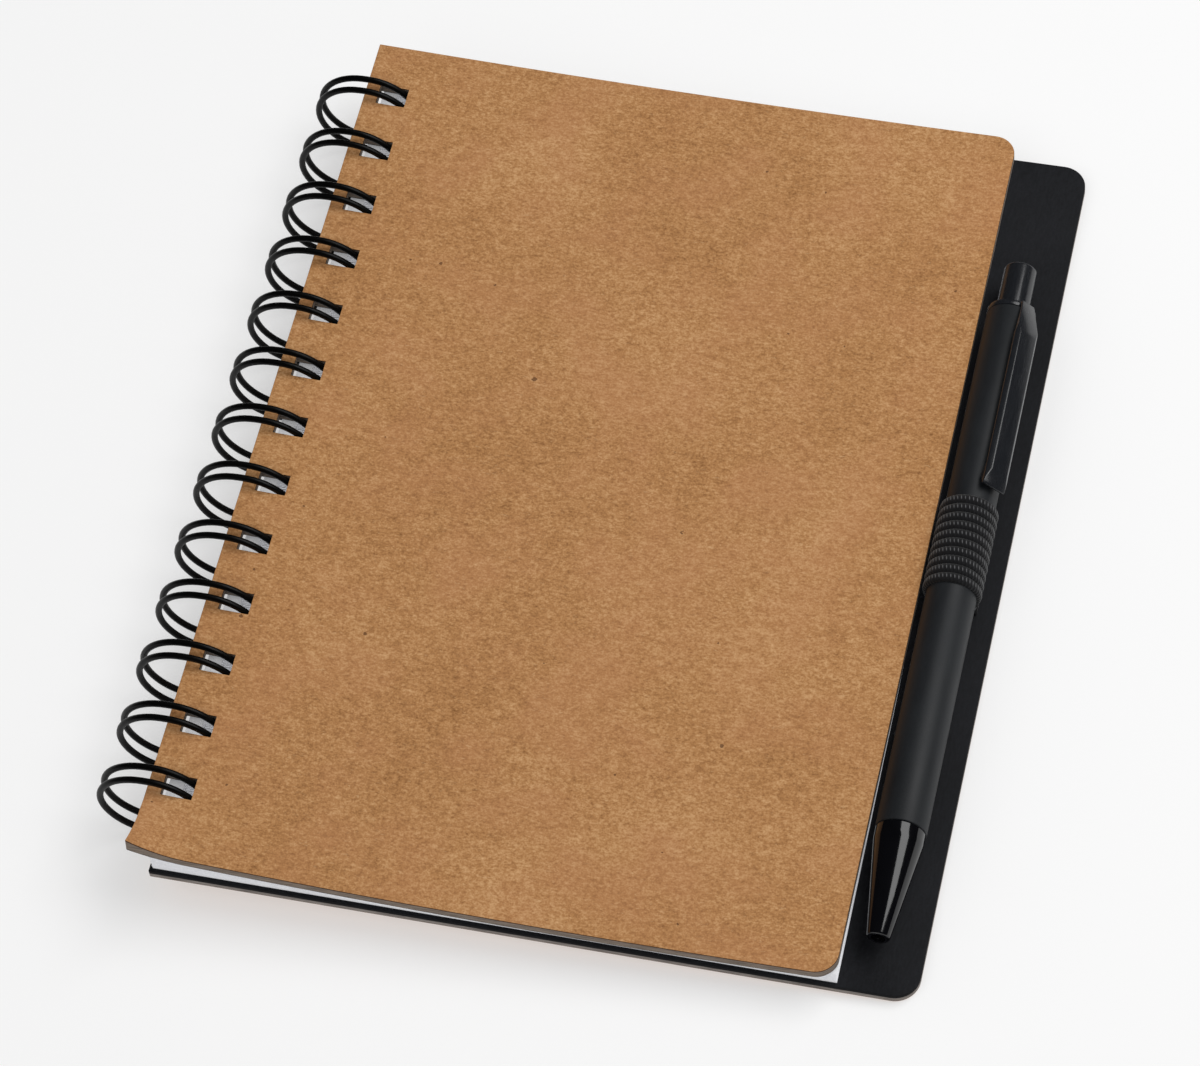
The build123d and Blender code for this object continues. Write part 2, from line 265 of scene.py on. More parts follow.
class Finish:
    """One material: a Principled shader and the pattern nodes that feed it."""

    def __init__(self, name):
        self.material = bpy.data.materials.new(name)
        self.material.use_nodes = True
        self.tree = self.material.node_tree
        self.tree.nodes.clear()
        self.shader = self.tree.nodes.new("ShaderNodeBsdfPrincipled")
        output = self.tree.nodes.new("ShaderNodeOutputMaterial")
        self.tree.links.new(self.shader.outputs["BSDF"], output.inputs["Surface"])

    def feed(self, socket, value):
        """Link a socket to a pattern, or give it a plain value."""
        if isinstance(value, Number):
            self.tree.links.new(value.socket, socket)
        elif isinstance(value, bpy.types.NodeSocket):
            self.tree.links.new(value, socket)
        else:
            socket.default_value = value

    def node(self, kind, settings=None, inputs=None):
        """Add a node: its settings first, then the values or links of its sockets."""
        node = self.tree.nodes.new(kind)
        for name, value in (settings or {}).items():
            setattr(node, name, value)
        for key, value in (inputs or {}).items():
            self.feed(node.inputs[key], value)
        return node

    def set(self, **inputs):
        """Set sockets of the shader, an underscore standing for a space in their names."""
        for name, value in inputs.items():
            self.feed(self.shader.inputs[name.replace("_", " ")], value)

    def place(self, scale=(1, 1, 1)):
        """The point on the piece, in metres, stretched by a scale along each axis."""
        coordinates = self.node("ShaderNodeTexCoord").outputs["Object"]
        return self.node("ShaderNodeMapping", {}, {"Vector": coordinates, "Scale": scale}).outputs["Vector"]

    def noise(self, size, detail=3.0, roughness=0.6, stretch=(1, 1, 1), distortion=0.0):
        """Noise from 0 to 1 whose grains are about size metres across."""
        inputs = {
            "Vector": self.place(stretch), "Scale": 1 / size, "Detail": detail,
            "Roughness": roughness, "Distortion": distortion,
        }
        return Number(self, self.node("ShaderNodeTexNoise", {}, inputs).outputs["Fac"])

    def between(self, value, low, high, start=0.0, end=1.0):
        """Bring a number from one range to another, and hold it there."""
        inputs = {"Value": value, "From Min": low, "From Max": high, "To Min": start, "To Max": end}
        return Number(self, self.node("ShaderNodeMapRange", {"clamp": True}, inputs).outputs["Result"])

    def mix(self, amount, first, second):
        """Mix two colours."""
        node = self.node("ShaderNodeMix", {"data_type": "RGBA"})
        self.feed(node.inputs[0], amount)
        self.feed(node.inputs[6], first)
        self.feed(node.inputs[7], second)
        return node.outputs[2]

    def bump(self, height, strength, depth):
        """Raise and sink the surface by a pattern, as far as depth in metres."""
        inputs = {"Height": height, "Strength": strength, "Distance": depth}
        self.set(Normal=self.node("ShaderNodeBump", {}, inputs).outputs["Normal"])


def linear(red, green, blue):
    """A colour given as it looks on a screen, from 0 to 255, as the shader's linear colour."""
    channels = [value / 255 for value in (red, green, blue)]
    return tuple(c / 12.92 if c <= 0.04045 else ((c + 0.055) / 1.055) ** 2.4 for c in channels) + (1,)


def kraft_paper():
    """Unbleached paper: brown with cloudy patches, short pale and dark fibres and a few bark specks."""
    finish = Finish("kraft_paper")
    clouds = finish.noise(26 * MM, 2, 0.5)
    patches = finish.noise(1.9 * MM, 3, 0.6, (0.85, 1.15, 1))
    grain = finish.noise(0.55 * MM, 1, 0.5, (0.8, 1.1, 1))
    fine = finish.noise(0.3 * MM, 1, 0.5)
    fibres = finish.noise(0.7 * MM, 2, 0.6, (0.4, 1.4, 1), 1.0)
    tone = 0.14 * clouds + 0.22 * patches + 0.30 * grain + 0.22 * fine + 0.12 * fibres
    brown = finish.mix(finish.between(tone, 0.32, 0.5), linear(128, 84, 43), linear(178, 128, 80))
    brown = finish.mix(finish.between(tone, 0.5, 0.68), brown, linear(214, 170, 122))
    reddish = finish.between(finish.noise(14 * MM, 2, 0.5), 0.45, 0.68, 0, 0.3)
    brown = finish.mix(reddish, brown, linear(180, 124, 84))
    pale_fibres = finish.between(finish.noise(0.55 * MM, 2, 0.5, (0.35, 1.4, 1), 2.0), 0.63, 0.72, 0, 0.35)
    brown = finish.mix(pale_fibres, brown, linear(222, 184, 138))
    inputs = {"Vector": finish.place(), "Scale": 1 / (5.5 * MM)}
    cells = finish.node("ShaderNodeTexVoronoi", {"feature": "F1"}, inputs)
    chance = finish.node("ShaderNodeSeparateColor", {}, {0: cells.outputs["Color"]})
    size = finish.between(Number(finish, chance.outputs[0]), 0.55, 1.0, 0.0, 0.075)
    ragged = size * finish.between(grain, 0.35, 0.6, 0.6, 1.5)
    speck = Number(finish, cells.outputs["Distance"]).below(ragged)
    brown = finish.mix(speck * 0.8, brown, linear(96, 62, 36))
    finish.set(Base_Color=brown, Roughness=finish.between(grain, 0.3, 0.7, 0.78, 0.92))
    finish.set(Specular_IOR_Level=0.25)
    finish.bump(grain * 0.6 + fibres * 0.4, 0.35, 0.06 * MM)
    return finish.material


def black_paper():
    """Black end paper: dyed through, matt, with a faint grain of pale dust and pressed fibres."""
    finish = Finish("black_paper")
    grain = finish.noise(0.4 * MM, 3, 0.7)
    cloth = finish.noise(0.7 * MM, 2, 0.6, (1.6, 0.4, 1))
    cloudy = finish.noise(18 * MM, 3, 0.6)
    tone = finish.between(grain * 0.5 + cloth * 0.25 + cloudy * 0.25, 0.35, 0.68)
    finish.set(Base_Color=finish.mix(tone, linear(15, 16, 19), linear(34, 35, 39)))
    finish.set(Roughness=finish.between(grain, 0.3, 0.7, 0.66, 0.82), Specular_IOR_Level=0.2)
    finish.bump(grain + cloth * 0.5, 0.3, 0.05 * MM)
    return finish.material


def board_edge():
    """The cut edge of a cover: grey board in thin plies, between the two papers pasted on it. The kraft
    paper's ply along its top is painted dark brown, as painted shade under the edge's rim.
    """
    finish = Finish("board_edge")
    layer = Number(finish, finish.node("ShaderNodeAttribute", {"attribute_name": "layer"}).outputs["Fac"])
    plies = finish.noise(0.5 * MM, 3, 0.7, (0.12, 0.12, 2.2))
    fuzz = finish.noise(0.25 * MM, 2, 0.6)
    grey = finish.mix(finish.between(plies, 0.35, 0.65), linear(86, 76, 68), linear(138, 124, 112))
    grey = finish.mix(fuzz * 0.3, grey, linear(170, 156, 142))
    wander = (plies - 0.5) * 0.08
    # Painted shade: the kraft ply along the top is painted far darker than the kraft paper itself.
    kraft_ply_painted_shade = finish.between(layer + wander, 0.86, 0.9)
    black_ply = finish.between(layer + wander, 0.13, 0.1)
    edge = finish.mix(kraft_ply_painted_shade, grey, linear(70, 44, 28))
    edge = finish.mix(black_ply, edge, linear(34, 33, 34))
    finish.set(Base_Color=edge, Roughness=0.9, Specular_IOR_Level=0.2)
    finish.bump(plies * 0.7 + fuzz * 0.3, 0.5, 0.08 * MM)
    return finish.material


kraft = kraft_paper()
black_liner = black_paper()
cut_board = board_edge()

front_board = punched_sheet(
    "front_board", 0, FRONT_WIDTH, 0, COVER_HEIGHT, FRONT_CORNER, FRONT_COLUMNS, CURL_CUTS,
)
apply_modifier(front_board, "SOLIDIFY", thickness=BOARD, offset=-1)
for vertex in front_board.data.vertices:
    if vertex.co.z < -BOARD / 2 and abs(vertex.co.x - HOLE_INSET - HOLE_LENGTH) < NEAR:
        vertex.co.x += HOLE_SLANT
round_edges(front_board, EDGE_ROUNDING)
keep_layer_height(front_board, -BOARD, 0)
paint_faces(front_board, kraft, cut_board, black_liner)
for vertex in front_board.data.vertices:
    vertex.co = bend_cover(vertex.co)
front_board.data.transform(book_to_table)
shade_by_angle(front_board)
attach(front_board, "front")
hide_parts("front_cover")

# ---------------------------------------------------------------------------
# Back cover. The same board with its kraft side down and its black side up, set back a little from
# the front cover's ends and running past its fore-edge as the shelf that the pen lies on.
# ---------------------------------------------------------------------------
BACK_LEFT = 2.2 * MM        # its spine edge, past the front cover's
BACK_SHELF = 13.6 * MM
BACK_SETBACK = 0.7 * MM
BACK_CORNER = 4.5 * MM
BACK_COLUMNS = 8


def back_board_edge():
    """The same cut edge as the front cover's, with the kraft paper below and the black paper above."""
    finish = Finish("back_board_edge")
    layer = Number(finish, finish.node("ShaderNodeAttribute", {"attribute_name": "layer"}).outputs["Fac"])
    plies = finish.noise(0.5 * MM, 3, 0.7, (0.12, 0.12, 2.2))
    grey = finish.mix(finish.between(plies, 0.35, 0.65), linear(104, 96, 92), linear(156, 148, 142))
    wander = (plies - 0.5) * 0.08
    edge = finish.mix(finish.between(layer + wander, 0.12, 0.08), grey, linear(128, 96, 66))
    edge = finish.mix(finish.between(layer + wander, 0.55, 0.62), edge, linear(20, 20, 22))
    finish.set(Base_Color=edge, Roughness=0.9, Specular_IOR_Level=0.2)
    finish.bump(plies, 0.5, 0.08 * MM)
    return finish.material


back_right = FRONT_WIDTH + BACK_SHELF
back_board = punched_sheet(
    "back_board", BACK_LEFT, back_right, BACK_SETBACK, COVER_HEIGHT - BACK_SETBACK, BACK_CORNER,
    BACK_COLUMNS,
)
apply_modifier(back_board, "SOLIDIFY", thickness=BOARD, offset=1)
round_edges(back_board, EDGE_ROUNDING)
keep_layer_height(back_board, 0, BOARD)
paint_faces(back_board, black_liner, back_board_edge(), kraft)
back_board.data.transform(book_to_table)
shade_by_angle(back_board)
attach(back_board, "back_and_pen")
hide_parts("back_cover")

# ---------------------------------------------------------------------------
# Sheets. Plain white leaves, punched with the same row of holes and threaded on the rings. They lie
# close at the fore-edge, which was trimmed a little out of square, and stand apart at the spine.
# ---------------------------------------------------------------------------
SHEETS = 32
SHEET = 0.075 * MM
PAGE_LEFT = 2.9 * MM
PAGE_SETBACK = 1.4 * MM
PAGE_COVER_GAP = 0.3 * MM
SHEET_SLIP = 0.12 * MM      # how far each leaf lies off its place
OUT_OF_SQUARE = 1.2 * MM    # how much narrower the sheets are at the top
SHEET_COLUMNS = 12
WALL_MARGIN = 0.1 * MM      # how far round a hole its walls are looked for
jitter = random.Random(11)


def white_paper_painted_glow():
    """Uncoated writing paper: very slightly cloudy, with a faint painted glow that brightens it where it
    lies in shade.
    """
    finish = Finish("white_paper_painted_glow")
    clouds = finish.noise(9 * MM, 3, 0.6)
    fibres = finish.noise(0.35 * MM, 2, 0.6)
    tone = finish.between(clouds * 0.4 + fibres * 0.6, 0.35, 0.65)
    finish.set(Base_Color=finish.mix(tone, linear(212, 212, 215), linear(228, 228, 230)))
    finish.set(Roughness=0.85, Specular_IOR_Level=0.3)
    # Painted light: the paper glows a little, though it is no lamp, to lift its faces and edges out of
    # shade.
    finish.set(Emission_Color=(0.97, 0.98, 1, 1), Emission_Strength=0.18)
    finish.bump(fibres, 0.15, 0.03 * MM)
    return finish.material


def hole_wall_painted_shade():
    """The same paper on the walls of its holes, painted dark grey with a fuzz of crushed fibres: painted
    shade, where the walls lie deep in the stack.
    """
    finish = Finish("hole_wall_painted_shade")
    fuzz = finish.noise(0.2 * MM, 3, 0.7)
    # Painted shade: the hole walls are a darker copy of the white paper.
    finish.set(Base_Color=finish.mix(fuzz, linear(70, 70, 72), linear(128, 127, 126)))
    finish.set(Roughness=0.95, Specular_IOR_Level=0.1)
    finish.bump(fuzz, 0.5, 0.05 * MM)
    return finish.material


def sheet_height(x, y, share):
    """Height of a leaf, by its share of the way from the back cover up to the front cover."""
    ceiling = bowed_height(x, y) - BOARD - PAGE_COVER_GAP - SHEET
    return BOARD + (ceiling - BOARD) * share


paper = white_paper_painted_glow()
leaf = punched_sheet(
    "leaf", PAGE_LEFT, FRONT_WIDTH, PAGE_SETBACK, COVER_HEIGHT - PAGE_SETBACK, 0, SHEET_COLUMNS,
)
apply_modifier(leaf, "SOLIDIFY", thickness=SHEET, offset=1)
leaf.data.materials.append(paper)
leaf.data.materials.append(hole_wall_painted_shade())
# The walls of the holes take the second, darker paper: painted shade.
for face in leaf.data.polygons:
    into_row = face.center.x - PAGE_LEFT - HOLE_INSET
    in_row = -WALL_MARGIN < into_row < HOLE_LENGTH + WALL_MARGIN
    between_ends = PITCH / 2 < face.center.y < COVER_HEIGHT - PITCH / 2
    if in_row and between_ends and abs(face.normal.z) < FACING:
        face.material_index = 1
for vertex in leaf.data.vertices:
    across = (vertex.co.x - PAGE_LEFT) / (FRONT_WIDTH - PAGE_LEFT)
    if across > 0.5:
        vertex.co.x -= OUT_OF_SQUARE * (2 * across - 1) * vertex.co.y / COVER_HEIGHT
leaves = []
for number in range(SHEETS):
    copy = bpy.data.objects.new(f"leaf_{number:02d}", leaf.data.copy())
    bpy.context.scene.collection.objects.link(copy)
    slip_x = jitter.uniform(-SHEET_SLIP, 0)
    slip_y = jitter.uniform(-SHEET_SLIP, SHEET_SLIP)
    for vertex in copy.data.vertices:
        x, y, z = vertex.co
        vertex.co = (x + slip_x, y + slip_y, z + sheet_height(x, y, number / (SHEETS - 1)))
    leaves.append(copy)
bpy.data.objects.remove(leaf)
deselect_all()
for copy in leaves:
    copy.select_set(True)
bpy.context.view_layer.objects.active = leaves[0]
bpy.ops.object.join()
sheets = leaves[0]
sheets.name = "sheets"
sheets.data.transform(book_to_table)
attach(sheets, "pages")
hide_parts("page_block")

# ---------------------------------------------------------------------------
# Twin-loop wire. One steel wire with a black nylon coat, formed into thirteen pairs of rings that
# are closed under the back cover once the sheets and the covers hang on them.
# ---------------------------------------------------------------------------


def black_wire():
    """Nylon coat on wire: black, satin, with shallow unevenness."""
    finish = Finish("black_wire")
    uneven = finish.noise(1.6 * MM, 2, 0.5)
    fine = finish.noise(0.2 * MM, 2, 0.6)
    finish.set(Base_Color=finish.mix(fine, linear(3, 3, 3), linear(9, 9, 9)))
    finish.set(Roughness=finish.between(uneven, 0.3, 0.7, 0.32, 0.44), Specular_IOR_Level=0.16)
    finish.bump(uneven * 0.8 + fine * 0.2, 0.15, 0.04 * MM)
    return finish.material


def paint_node(name, finish):
    """Give a CAD node, whose shape is right as it is, its material."""
    mesh = frame["nodes"][name].data
    mesh.materials.clear()
    mesh.materials.append(finish)


paint_node("wire_binding", black_wire())

# ---------------------------------------------------------------------------
# Pen loop. A band of black ribbed elastic round the pen's barrel. Its two ends are glued together
# and to the back cover's shelf, under the pen.
# ---------------------------------------------------------------------------
BARREL_RADIUS = 4.5 * MM
FIT_CLEARANCE = 0.05 * MM
LOOP_THICKNESS = 0.75 * MM
LOOP_FOOT = 9.0 * MM        # width of the glued ends, across the pen
RIBS = 10
RIB_STEPS = 6
THREADS_AROUND = 46
VALLEY = 0.35               # height between the ribs, as a share of the height on them
FOOT_VALLEY = 0.6           # the same on the glued ends
FOOT_SHARE = 0.55           # thickness of the glued ends, as a share of the band's
AROUND = 96                 # sides of every turned piece

pen_axis = joint_place("cam_turn")
loop_low, loop_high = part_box("pen_loop")
loop_start = loop_low.y
loop_width = loop_high.y - loop_low.y
rib_pitch = loop_width / RIBS
pen_in_book = book_to_table.inverted() @ Vector((pen_axis.x, loop_start, pen_axis.z))


def ribbed_elastic():
    """Elastic woven over rubber cords: each rib is wound with a fine slanting thread."""
    finish = Finish("ribbed_elastic")
    point = finish.node("ShaderNodeSeparateXYZ", {}, {0: finish.place()})
    across = Number(finish, point.outputs["X"]) - pen_axis.x
    along = Number(finish, point.outputs["Y"]) - loop_start
    up = Number(finish, point.outputs["Z"]) - pen_axis.z
    turn = across.maths("ARCTAN2", across, up)
    rib_phase = along * (2 * math.pi / rib_pitch)
    threads = (turn * THREADS_AROUND + rib_phase * 0.5).sine()
    crest = 0.5 - 0.5 * rib_phase.cosine()
    worn = finish.noise(0.8 * MM, 2, 0.6)
    stitch = finish.between(threads * crest + worn * 0.4, 0.72, 1.05)
    dark = finish.mix(worn, linear(14, 14, 15), linear(27, 27, 29))
    finish.set(Base_Color=finish.mix(stitch * 0.7, dark, linear(104, 104, 106)))
    finish.set(Roughness=0.85, Sheen_Weight=0.15, Specular_IOR_Level=0.2)
    finish.bump(threads * 0.5 + worn * 0.5, 0.6, 0.12 * MM)
    return finish.material


def circle_on_pen(name, distance, radius):
    """Start a turned piece: a circle square to the pen's axis, in edit mode, all selected."""
    deselect_all()
    place = (pen_axis.x, distance, pen_axis.z)
    upright = (math.pi / 2, 0, 0)
    bpy.ops.mesh.primitive_circle_add(vertices=AROUND, radius=radius, location=place, rotation=upright)
    piece = bpy.context.object
    piece.name = name
    bpy.ops.object.transform_apply(location=True, rotation=True, scale=True)
    bpy.ops.object.mode_set(mode="EDIT")
    bpy.ops.mesh.select_mode(type="VERT")
    bpy.ops.mesh.select_all(action="SELECT")
    return piece


def turned(name, start, outline):
    """Turn a piece about the pen's axis: a circle extruded from ring to ring of (distance, radius)."""
    piece = circle_on_pen(name, start + outline[0][0], outline[0][1])
    for (here, radius), (there, next_radius) in zip(outline, outline[1:]):
        bpy.ops.mesh.extrude_region_move(TRANSFORM_OT_translate={"value": (0, there - here, 0)})
        ratio = next_radius / radius
        centre = (pen_axis.x, start + there, pen_axis.z)
        bpy.ops.transform.resize(value=(ratio, 1, ratio), center_override=centre)
    bpy.ops.mesh.select_all(action="SELECT")
    bpy.ops.mesh.remove_doubles(threshold=0.001 * MM)
    bpy.ops.mesh.normals_make_consistent(inside=False)
    bpy.ops.object.mode_set(mode="OBJECT")
    return piece


def rib_height(step):
    """Height of the woven ribs above the valleys between them, from 0 to 1."""
    return math.sqrt(abs(math.sin(math.pi * step / RIB_STEPS)))


loop_inner = BARREL_RADIUS + FIT_CLEARANCE
loop_outer = loop_inner + LOOP_THICKNESS
valley = loop_inner + LOOP_THICKNESS * VALLEY
band_outline = [(0, loop_inner)]
for step in range(RIBS * RIB_STEPS + 1):
    distance = loop_width * step / (RIBS * RIB_STEPS)
    band_outline.append((distance, valley + (loop_outer - valley) * rib_height(step)))
band_outline += [(loop_width, loop_inner), (0, loop_inner)]
elastic = turned("elastic", loop_start, band_outline)

deselect_all()
bpy.ops.mesh.primitive_grid_add(
    x_subdivisions=4, y_subdivisions=RIBS * RIB_STEPS, size=1, location=(0, 0, 0),
)
foot = bpy.context.object
for vertex in foot.data.vertices:
    along = vertex.co.y + 0.5
    rib = rib_height(round(along * RIBS * RIB_STEPS))
    height = BOARD + LOOP_THICKNESS * (FOOT_VALLEY + (1 - FOOT_VALLEY) * rib)
    vertex.co = (pen_in_book.x + vertex.co.x * LOOP_FOOT, pen_in_book.y + along * loop_width, height)
foot.data.transform(book_to_table)
apply_modifier(foot, "SOLIDIFY", thickness=LOOP_THICKNESS * FOOT_SHARE, offset=-1)
elastic.select_set(True)
bpy.context.view_layer.objects.active = elastic
bpy.ops.object.join()
elastic.data.materials.append(ribbed_elastic())
shade_by_angle(elastic, 60)
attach(elastic, "back_and_pen")
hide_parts("pen_loop")

# ---------------------------------------------------------------------------
# Pen barrel. A plain tube of black plastic with a soft matt coat, moulded, open at both ends.
# ---------------------------------------------------------------------------
EDGE_BREAK = 0.25 * MM
ARC_MIDDLE = 0.3            # a rounded edge's middle lies this share of its radius inside the corner
BARREL_BORE = 3.65 * MM
SPIGOT_WALL = 1.3 * MM
SPIGOT_LENGTH = 8.2 * MM


def soft_black():
    """Soft-touch coat: a very fine stipple that spreads the light into one broad band."""
    finish = Finish("soft_black")
    stipple = finish.noise(0.18 * MM, 2, 0.6)
    rubbed = finish.noise(6 * MM, 3, 0.6, (1.5, 0.4, 1.5))
    tone = finish.between(stipple * 0.5 + rubbed * 0.5, 0.35, 0.65)
    finish.set(Base_Color=finish.mix(tone, linear(24, 26, 29), linear(34, 37, 40)))
    finish.set(Roughness=finish.between(rubbed, 0.3, 0.7, 0.5, 0.6), Specular_IOR_Level=0.36)
    finish.bump(stipple, 0.12, 0.02 * MM)
    return finish.material


barrel_low, barrel_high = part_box("pen_barrel")
barrel_length = barrel_high.y - barrel_low.y
mouth = BARREL_RADIUS - SPIGOT_WALL / 2
barrel = turned("barrel", barrel_low.y, [
    (0, mouth),
    (0, BARREL_RADIUS - EDGE_BREAK),
    (EDGE_BREAK * ARC_MIDDLE, BARREL_RADIUS - EDGE_BREAK * ARC_MIDDLE),
    (EDGE_BREAK, BARREL_RADIUS),
    (barrel_length * 0.25, BARREL_RADIUS),
    (barrel_length * 0.5, BARREL_RADIUS),
    (barrel_length * 0.75, BARREL_RADIUS),
    (barrel_length - EDGE_BREAK, BARREL_RADIUS),
    (barrel_length - EDGE_BREAK * ARC_MIDDLE, BARREL_RADIUS - EDGE_BREAK * ARC_MIDDLE),
    (barrel_length, BARREL_RADIUS - EDGE_BREAK),
    (barrel_length, BARREL_BORE),
    (SPIGOT_LENGTH, BARREL_BORE),
    (SPIGOT_LENGTH, mouth),
    (0, mouth),
])
barrel.data.materials.append(soft_black())
shade_by_angle(barrel)
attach(barrel, "back_and_pen")
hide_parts("pen_barrel")

# ---------------------------------------------------------------------------
# Nose. A polished black cone with a short straight neck, pushed into the barrel by its spigot and
# bored for the writing tip.
# ---------------------------------------------------------------------------
NOSE_LENGTH = 20.6 * MM
NOSE_NECK = 2.2 * MM
NOSE_FRONT_RADIUS = 2.0 * MM
NOSE_RADIUS = 4.35 * MM
TIP_BORE = 1.23 * MM
CHAMBER = 1.99 * MM
SPRING_SEAT = 6.0 * MM
SPIGOT_RADIUS = 3.8 * MM
# Rounded edges of the nose, each point's distance and radius counted from the sharp edge.
FRONT_ARC = [(0, -0.2 * MM), (0.08 * MM, -0.06 * MM), (0.3 * MM, 0.05 * MM)]
NECK_ARC = [(-0.5 * MM, -0.07 * MM), (-0.1 * MM, -0.02 * MM), (0.3 * MM, 0)]
REAR_ARC = [(-0.2 * MM, 0), (0, -0.15 * MM)]


def polished_black():
    """Polished black plastic with faint moulding swirls and hairline rubs in its gloss."""
    finish = Finish("polished_black")
    swirl = finish.noise(4 * MM, 3, 0.6, (1, 0.5, 1), 0.8)
    rubs = finish.noise(0.3 * MM, 2, 0.7, (2.5, 0.3, 2.5))
    finish.set(Base_Color=finish.mix(swirl, linear(7, 7, 9), linear(14, 14, 17)))
    finish.set(Roughness=finish.between(rubs * 0.6 + swirl * 0.4, 0.35, 0.65, 0.07, 0.13))
    finish.set(Specular_IOR_Level=0.5)
    finish.bump(swirl, 0.04, 0.05 * MM)
    return finish.material


nose_low, nose_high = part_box("nose_cone")
nose_length = nose_high.y - nose_low.y
cone_end = NOSE_LENGTH - NOSE_NECK
nose = turned("nose", nose_low.y, [
    (0, TIP_BORE),
    *[(along, NOSE_FRONT_RADIUS + out) for along, out in FRONT_ARC],
    *[(cone_end + along, NOSE_RADIUS + out) for along, out in NECK_ARC],
    *[(NOSE_LENGTH + along, NOSE_RADIUS + out) for along, out in REAR_ARC],
    (NOSE_LENGTH, SPIGOT_RADIUS),
    (nose_length, SPIGOT_RADIUS),
    (nose_length, CHAMBER),
    (SPRING_SEAT, CHAMBER),
    (SPRING_SEAT, TIP_BORE),
    (0, TIP_BORE),
])
nose.data.materials.append(polished_black())
shade_by_angle(nose)
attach(nose, "back_and_pen")
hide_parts("nose_cone")

# ---------------------------------------------------------------------------
# Clip. One moulding: a ring on the barrel's rear end, and a bevelled blade that stands off the barrel
# and springs back to it at its tip.
# ---------------------------------------------------------------------------
CLIP_ROUNDING = 0.14 * MM
CLIP_EDGE_ANGLE = 25
MERGE_DISTANCE = 0.005 * MM


def satin_black():
    """The same black plastic moulded satin, with fine scuffs along its length."""
    finish = Finish("satin_black")
    scuffs = finish.noise(0.35 * MM, 3, 0.7, (2.2, 0.12, 2.2))
    rubbed = finish.noise(3 * MM, 2, 0.6, (1.5, 0.3, 1.5))
    finish.set(Base_Color=finish.mix(scuffs, linear(20, 21, 24), linear(36, 38, 42)))
    finish.set(Roughness=finish.between(scuffs * 0.5 + rubbed * 0.5, 0.35, 0.65, 0.17, 0.29))
    finish.set(Specular_IOR_Level=0.5)
    finish.bump(scuffs, 0.1, 0.03 * MM)
    return finish.material


satin = satin_black()


def copy_of_node(name, node):
    """A piece of its own from a CAD node's shape, with its loose triangles merged into faces."""
    piece = frame["nodes"][node].copy()
    piece.data = piece.data.copy()
    piece.name = name
    piece.parent = None
    bpy.context.scene.collection.objects.link(piece)
    activate(piece)
    bpy.ops.object.mode_set(mode="EDIT")
    bpy.ops.mesh.select_all(action="SELECT")
    bpy.ops.mesh.remove_doubles(threshold=MERGE_DISTANCE)
    bpy.ops.mesh.dissolve_limited(angle_limit=math.radians(1))
    bpy.ops.object.mode_set(mode="OBJECT")
    piece.data.materials.clear()
    return piece


clip = copy_of_node("clip", "pen_clip")
round_edges(clip, CLIP_ROUNDING, CLIP_EDGE_ANGLE)
clip.data.materials.append(satin)
shade_by_angle(clip, 30)
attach(clip, "back_and_pen")
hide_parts("pen_clip")

# ---------------------------------------------------------------------------
# Button. The black push rod at the pen's rear end: a round stem with a blunt, rounded end and a
# flange inside the barrel that keeps it in.
# ---------------------------------------------------------------------------
BUTTON_RADIUS = 3.1 * MM
FLANGE_RADIUS = 3.57 * MM
FLANGE_LENGTH = 2.9 * MM
BUTTON_END_ROUNDING = 0.6 * MM
END_STEPS = 6

button_low, button_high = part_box("pen_button")
button_length = button_high.y - button_low.y
button_bore = BUTTON_RADIUS / 2
end_arc = [math.radians(90 / END_STEPS * i) for i in range(END_STEPS + 1)]
button = turned("button", button_low.y, [
    (FLANGE_LENGTH, button_bore),
    (0, button_bore),
    (0, FLANGE_RADIUS),
    (FLANGE_LENGTH, FLANGE_RADIUS),
    (FLANGE_LENGTH, BUTTON_RADIUS),
] + [
    (
        button_length - BUTTON_END_ROUNDING * (1 - math.sin(a)),
        BUTTON_RADIUS - BUTTON_END_ROUNDING * (1 - math.cos(a)),
    )
    for a in end_arc
] + [(button_length, button_bore)])

# Its rounded end and the bottom of its hollow are closed with flat faces.
bpy.ops.object.mode_set(mode="EDIT")
bpy.ops.mesh.select_all(action="DESELECT")
bpy.ops.mesh.select_mode(type="EDGE")
bpy.ops.mesh.select_non_manifold()
bpy.ops.mesh.edge_face_add()
bpy.ops.mesh.select_all(action="SELECT")
bpy.ops.mesh.normals_make_consistent(inside=False)
bpy.ops.object.mode_set(mode="OBJECT")
button.data.materials.append(satin)
shade_by_angle(button)
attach(button, "button")
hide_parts("pen_button")

# ---------------------------------------------------------------------------
# Inside the pen. The bush that guides the button, the toothed cam, the ink tube with its turned tip
# and hard ball, and the wire spring that pushes the tube back. Their shapes are the frame's own.
# ---------------------------------------------------------------------------


def white_acetal():
    """Slippery white plastic, faintly cloudy."""
    finish = Finish("white_acetal")
    clouds = finish.noise(1.5 * MM, 2, 0.5)
    finish.set(Base_Color=finish.mix(clouds, linear(226, 226, 222), linear(240, 240, 237)))
    finish.set(Roughness=finish.between(clouds, 0.3, 0.7, 0.4, 0.5))
    return finish.material


def ink_tube():
    """Thin plastic tube with blue ink smeared along its wall."""
    finish = Finish("ink_tube")
    streaks = finish.noise(1.2 * MM, 3, 0.6, (2, 0.3, 2))
    finish.set(Base_Color=finish.mix(streaks, linear(20, 24, 54), linear(46, 54, 98)))
    finish.set(Roughness=finish.between(streaks, 0.3, 0.7, 0.22, 0.35))
    return finish.material


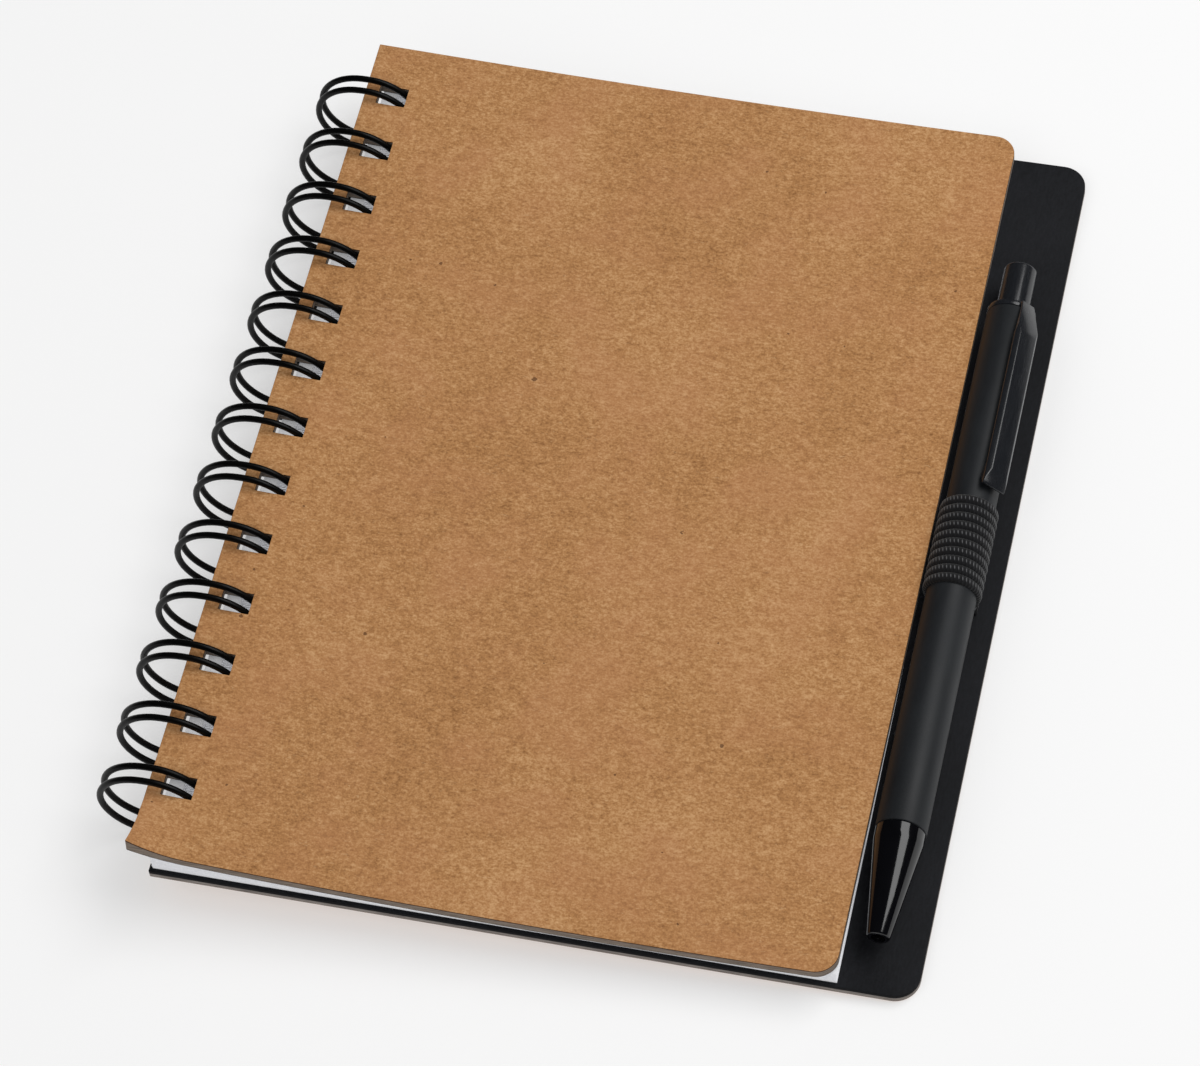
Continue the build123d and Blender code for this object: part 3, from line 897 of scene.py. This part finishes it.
def turned_metal(name, dark, light):
    """Bare metal with the fine rings that turning or drawing leaves."""
    finish = Finish(name)
    rings = finish.noise(0.12 * MM, 2, 0.6, (0.2, 2.5, 0.2))
    finish.set(Base_Color=finish.mix(rings, dark, light))
    finish.set(Metallic=1.0, Roughness=finish.between(rings, 0.3, 0.7, 0.2, 0.36))
    finish.bump(rings, 0.1, 0.01 * MM)
    return finish.material


acetal = white_acetal()
paint_node("button_guide", acetal)
paint_node("cam_rotor", acetal)
paint_node("refill_tube", ink_tube())
paint_node("refill_tip", turned_metal("tip_brass", linear(176, 152, 98), linear(206, 186, 138)))
paint_node("writing_ball", turned_metal("ball_carbide", linear(150, 150, 152), linear(190, 190, 192)))
paint_node("return_spring", turned_metal("spring_steel", linear(150, 150, 150), linear(200, 200, 200)))

# ---------------------------------------------------------------------------
# Floor, lights and camera. A pale table, lit softly from below as well, under two soft lights.
# ---------------------------------------------------------------------------
FLOOR_SIZE = 6.0
TABLE_GREY = 0.55
TABLE_GLOW = 0.43
ROOM_LIGHT = 0.36
WHITE = (1, 1, 1, 1)
LENS = 139.09
SENSOR_WIDTH = 36
CAMERA_PLACE = Vector((0.17674, -0.43518, 0.69435))
CAMERA_TARGET = Vector((0.00127, -0.00793, 0.008))
CAMERA_ROLL = math.radians(-11.576)
CAMERA_SHIFT = Vector((0, -0.45, 0)) * MM    # across its own view


def table_top():
    """A matt pale table that glows a little."""
    finish = Finish("table_top")
    finish.set(Base_Color=(TABLE_GREY, TABLE_GREY, TABLE_GREY, 1), Roughness=1.0, Specular_IOR_Level=0.0)
    finish.set(Emission_Color=WHITE, Emission_Strength=TABLE_GLOW)
    return finish.material


deselect_all()
bpy.ops.mesh.primitive_plane_add(size=FLOOR_SIZE, location=(0, 0, 0))
floor = bpy.context.object
floor.name = "floor"
floor.data.materials.append(table_top())


def soft_light(name, place, target, width, length, power):
    """A rectangular soft light, aimed at a point."""
    light = bpy.data.lights.new(name, "AREA")
    light.shape = "RECTANGLE"
    light.size = width
    light.size_y = length
    light.energy = power
    lamp = bpy.data.objects.new(name, light)
    bpy.context.scene.collection.objects.link(lamp)
    lamp.location = place
    lamp.rotation_euler = (Vector(target) - Vector(place)).to_track_quat("-Z", "Y").to_euler()
    return lamp


soft_light("key", place=(0.58, 0.32, 0.95), target=(0.02, 0, 0), width=1.05, length=0.62, power=8.0)
fill = soft_light("fill", place=(-0.5, -0.9, 1.3), target=(0, 0, 0), width=1.4, length=1.4, power=6.0)
fill.visible_glossy = False
world = bpy.data.worlds.new("room")
bpy.context.scene.world = world
world.use_nodes = True
background = world.node_tree.nodes["Background"]
background.inputs["Color"].default_value = WHITE
background.inputs["Strength"].default_value = ROOM_LIGHT
world.cycles_visibility.glossy = False
bpy.context.scene.view_settings.view_transform = "Standard"

camera_data = bpy.data.cameras.new("camera")
camera_data.lens = LENS
camera_data.sensor_width = SENSOR_WIDTH
camera_data.sensor_fit = "HORIZONTAL"
camera_data.clip_start = 0.01
camera = bpy.data.objects.new("camera", camera_data)
bpy.context.scene.collection.objects.link(camera)
aim = (CAMERA_TARGET - CAMERA_PLACE).to_track_quat("-Z", "Y").to_matrix().to_4x4()
turn = aim @ Matrix.Rotation(CAMERA_ROLL, 4, "Z")
camera.matrix_world = Matrix.Translation(CAMERA_PLACE) @ turn @ Matrix.Translation(CAMERA_SHIFT)
bpy.context.scene.camera = camera
